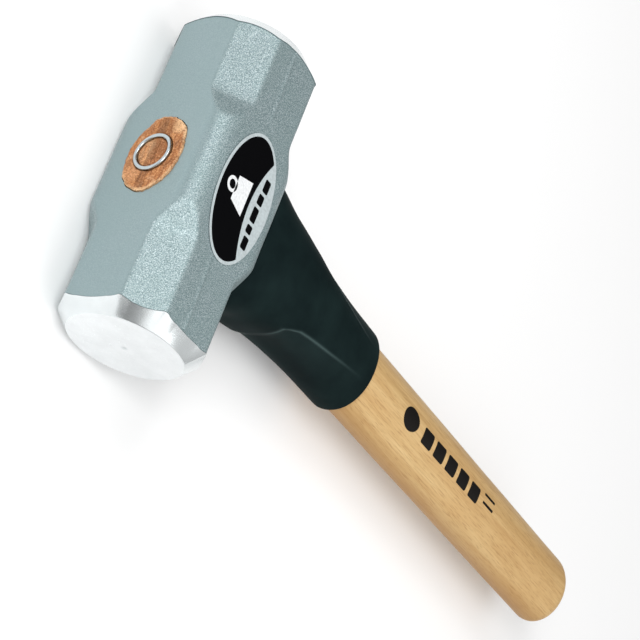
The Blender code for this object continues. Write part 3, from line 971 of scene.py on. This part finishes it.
def build_label(silver, black, white):
    """The oval film with its black field, the weight sign and the row of bars."""
    middle_y = (LABEL_LOW.y + LABEL_HIGH.y) / 2
    half_y = (LABEL_HIGH.y - LABEL_LOW.y) / 2
    half_x = (LABEL_HIGH.x - LABEL_LOW.x) / 2
    base = HEAD_HIGH.z + LABEL_GAP
    film = base + FILM
    field = film + FIELD
    count = 144
    oval = oval_outline((0.0, middle_y), (half_x, half_y), count)
    plate("label_border", oval, base, film, silver, "label")
    arc_radius = (ARC_HALF ** 2 + ARC_BULGE ** 2) / (2.0 * ARC_BULGE)
    arc_centre = ARC_END_X - ARC_BULGE + arc_radius
    cut_oval = []
    for x, y in oval_outline((0.0, 0.0), (half_x - BORDER, half_y - BORDER), count):
        limit = arc_centre - math.sqrt(arc_radius ** 2 - y ** 2)
        cut_oval.append((min(x, limit), middle_y + y))
    plate("label_field", cut_oval, film, field, black)
    plate("weight_mark_body", WEIGHT_OUTLINE, field, field + PRINT, white)
    ring_band("weight_mark_ring", WEIGHT_RING_CENTRE, WEIGHT_RING_RADIUS, WEIGHT_RING_WALL,
              field, field + PRINT, white)
    start = BAR_START
    for i, length in enumerate(BAR_LENGTHS):
        middle = start + length / 2
        x = BAR_LINE + BAR_BEND * (middle * 1000.0 + BAR_BEND_TOP) ** 2
        bar = rounded_bar((x, middle), (length, BAR_WIDTH), BAR_CORNER)
        plate("label_bar_{}".format(i + 1), bar, film, film + PRINT, black)
        start += length + BAR_GAP


def wrapped_mark(name, outline, material):
    """A thin ink mark that lies on the upper side of the handle, from an (x, y) outline."""
    strip = 0.0008              # the mark is cut into strips this wide, to follow the oval
    above = 0.00008
    buried = 0.0002
    bm = bmesh.new()
    bm.faces.new([bm.verts.new((x, y, 0.0)) for x, y in outline])
    low = min(y for x, y in outline)
    high = max(y for x, y in outline)
    cuts = max(int((high - low) / strip), 1)
    for i in range(1, cuts):
        bmesh.ops.bisect_plane(bm, geom=bm.verts[:] + bm.edges[:] + bm.faces[:],
                               plane_co=(0.0, low + (high - low) * i / cuts, 0.0),
                               plane_no=(0.0, 1.0, 0.0))
    extruded = bmesh.ops.extrude_face_region(bm, geom=list(bm.faces))
    upper = {v for v in extruded["geom"] if isinstance(v, bmesh.types.BMVert)}
    for vert in bm.verts:
        room = max(GRIP ** 2 - vert.co.y ** 2, 0.0)
        vert.co.z = OVAL_RATIO * math.sqrt(room) + (above if vert in upper else -buried)
    mesh = mesh_from(bm, name)
    mesh.transform(Matrix.Translation(CENTRE))
    new_piece(name, mesh, [material])


def build_handle_marks(ink):
    """A disc, a row of plain blocks and two thin lines, printed along the handle."""
    wrapped_mark("handle_mark_disc", oval_outline(DISC_CENTRE, DISC_HALVES, 40), ink)
    for i in range(BLOCKS):
        block = rounded_bar((BLOCK_FIRST + BLOCK_STEP * i, BLOCK_Y), BLOCK_SIZE, BLOCK_CORNER)
        wrapped_mark("handle_mark_block_{}".format(i + 1), block, ink)
    for i, y in enumerate(LINE_YS):
        line = rounded_bar((LINE_X, y), LINE_SIZE, BAR_CORNER)
        wrapped_mark("handle_mark_line_{}".format(i + 1), line, ink)


def build_hammer():
    coat = coated_steel()
    bevel = ground_steel("bevel_steel", rgb(227, 232, 233), roughness=0.20, grind=500.0)
    face = ground_steel("face_steel", rgb(236, 239, 240), roughness=0.34, grind=900.0)
    ring_steel = ground_steel("ring_steel", rgb(190, 200, 203), roughness=0.24, grind=900.0)
    rim = printed("coat_rim", rgb(88, 106, 108), roughness=0.5)
    # Painted shadow for the eye's wall, in the gap round the wood.
    eye_wall_shade = printed("eye_wall_shade", rgb(44, 38, 34), roughness=0.6)
    build_head([coat, bevel, face, rim, eye_wall_shade])
    build_handle(hickory())
    build_end_grain(end_grain("end_grain", light=1.0))
    build_wedge_strip(end_grain("wedge_grain", light=0.72))
    build_ring(ring_steel)
    build_sleeve(moulded_rubber())
    black = printed("label_black", rgb(7, 7, 9), roughness=0.35, specular=0.05)
    silver = printed("label_silver", rgb(188, 198, 200), roughness=0.35)
    white = printed("label_white", rgb(236, 238, 239))
    build_label(silver, black, white)
    build_handle_marks(printed("handle_ink", rgb(20, 17, 15), roughness=0.5, specular=0.15))


# ---- Floor, light and camera -------------------------------------------------------------------

WHITE = (1.0, 1.0, 1.0, 1.0)
FLOOR_COLOUR = (0.88, 0.88, 0.88, 1.0)
FLOOR_ROUGHNESS = 0.9
FLOOR_GLOW = 0.10               # the floor is a sheet of lit white acrylic
FLOOR_HALF = 3.0
FLOOR_GAP = 0.0002

# The surround's strength goes from dim to bright along LIT_SIDE (x, y), and from a share at the
# horizon to all of it higher up; each range is (from, to, value at from, value at to).
LIT_SIDE = (-0.75, -0.65)
SIDE_RANGE = (-0.55, 0.45, 0.072, 0.60)
RISE_RANGE = (0.02, 0.62, 0.42, 1.0)
# Brighter patches of the surround: direction, outer and inner angle in degrees, and strength.
SKY_PATCHES = (
    ((0.18, -0.76, 0.62), 31.0, 21.0, 0.80),
    ((0.86, -0.32, 0.42), 46.0, 10.0, 0.58),
)

# Name, place, aim, width and depth in metres, and power in watts of each lamp.
LAMPS = (
    ("key", (-0.80, -0.30, 0.90), (0.02, 0.0, 0.03), 0.5, 0.5, 5.6),
    ("side", (-0.66, 0.33, 0.72), (0.0, -0.03, 0.04), 0.38, 0.38, 3.2),
    ("overhead", (0.42, -0.1, 1.5), (0.18, 0.0, 0.0), 1.6, 1.2, 7.8),
)

# The camera as it was fitted to the photo: its place is in half widths of the head, from the
# centre of the head.
CAMERA_RIGHT = (0.46983, 0.32190, 0.82198)
CAMERA_DOWN = (0.53811, -0.84258, 0.02239)
CAMERA_PLACE = (-19.7133, -14.2414, 19.1331)
SENSOR_WIDTH = 36.0             # millimetres
LENS = 119.97
FARTHEST = 20.0                 # metres


def build_floor():
    bm = bmesh.new()
    bmesh.ops.create_grid(bm, x_segments=2, y_segments=2, size=FLOOR_HALF)
    mesh = bpy.data.meshes.new("floor")
    bm.to_mesh(mesh)
    bm.free()
    floor = bpy.data.objects.new("floor", mesh)
    floor.location = (0.0, 0.0, HEAD_LOW.z - FLOOR_GAP)
    bpy.context.scene.collection.objects.link(floor)
    n = MaterialNodes("floor_white")
    mesh.materials.append(n.finish(FLOOR_COLOUR, FLOOR_ROUGHNESS, Emission_Color=WHITE,
                                   Emission_Strength=FLOOR_GLOW, Specular_IOR_Level=0.0))


def studio_world():
    """A soft surround: bright above on the side of the lights, dim at the horizon and behind,
    with two brighter patches."""
    world = bpy.data.worlds.new("studio")
    bpy.context.scene.world = world
    world.use_nodes = True
    n = Nodes(world.node_tree)
    direction = n.add("ShaderNodeTexCoord", output="Generated")
    x, y, z = n.axes(direction)
    lit_side = n.sums("ADD", n.sums("MULTIPLY", x, LIT_SIDE[0]), n.sums("MULTIPLY", y, LIT_SIDE[1]))
    side = n.between(lit_side, *SIDE_RANGE, easing="SMOOTHSTEP")
    rise = n.between(z, *RISE_RANGE, easing="SMOOTHSTEP")
    strength = n.sums("MULTIPLY", side, rise)
    for aim, outer, inner, amount in SKY_PATCHES:
        toward = n.measure("DOT_PRODUCT", direction, Vector(aim).normalized())
        patch = n.between(toward, math.cos(math.radians(outer)), math.cos(math.radians(inner)),
                          0.0, amount, easing="SMOOTHSTEP")
        strength = n.sums("ADD", strength, patch)
    background = n.tree.nodes["Background"]
    n.link(WHITE, background.inputs["Color"])
    n.link(strength, background.inputs["Strength"])


def area_light(name, place, aim, width, depth, power):
    data = bpy.data.lights.new(name, "AREA")
    data.shape = "RECTANGLE"
    data.size = width
    data.size_y = depth
    data.energy = power
    light = bpy.data.objects.new(name, data)
    light.location = place
    light.rotation_euler = (Vector(aim) - Vector(place)).to_track_quat("-Z", "Y").to_euler()
    bpy.context.scene.collection.objects.link(light)


def place_camera():
    """A long lens that looks down past the near face and the eye, rolled so that the handle
    falls to the lower right."""
    right = Vector(CAMERA_RIGHT)
    up = -Vector(CAMERA_DOWN)
    back = right.cross(up)
    data = bpy.data.cameras.new("camera")
    data.sensor_fit = "HORIZONTAL"
    data.sensor_width = SENSOR_WIDTH
    data.lens = LENS
    data.clip_end = FARTHEST
    camera = bpy.data.objects.new("camera", data)
    bpy.context.scene.collection.objects.link(camera)
    rotation = Matrix((right, up, back)).transposed()
    place = Vector(CAMERA_PLACE) * HALF + CENTRE
    camera.matrix_world = Matrix.Translation(place) @ rotation.to_4x4()
    bpy.context.scene.camera = camera


build_hammer()
build_floor()
studio_world()
for lamp in LAMPS:
    area_light(*lamp)
place_camera()
bpy.context.scene.view_settings.view_transform = "Standard"
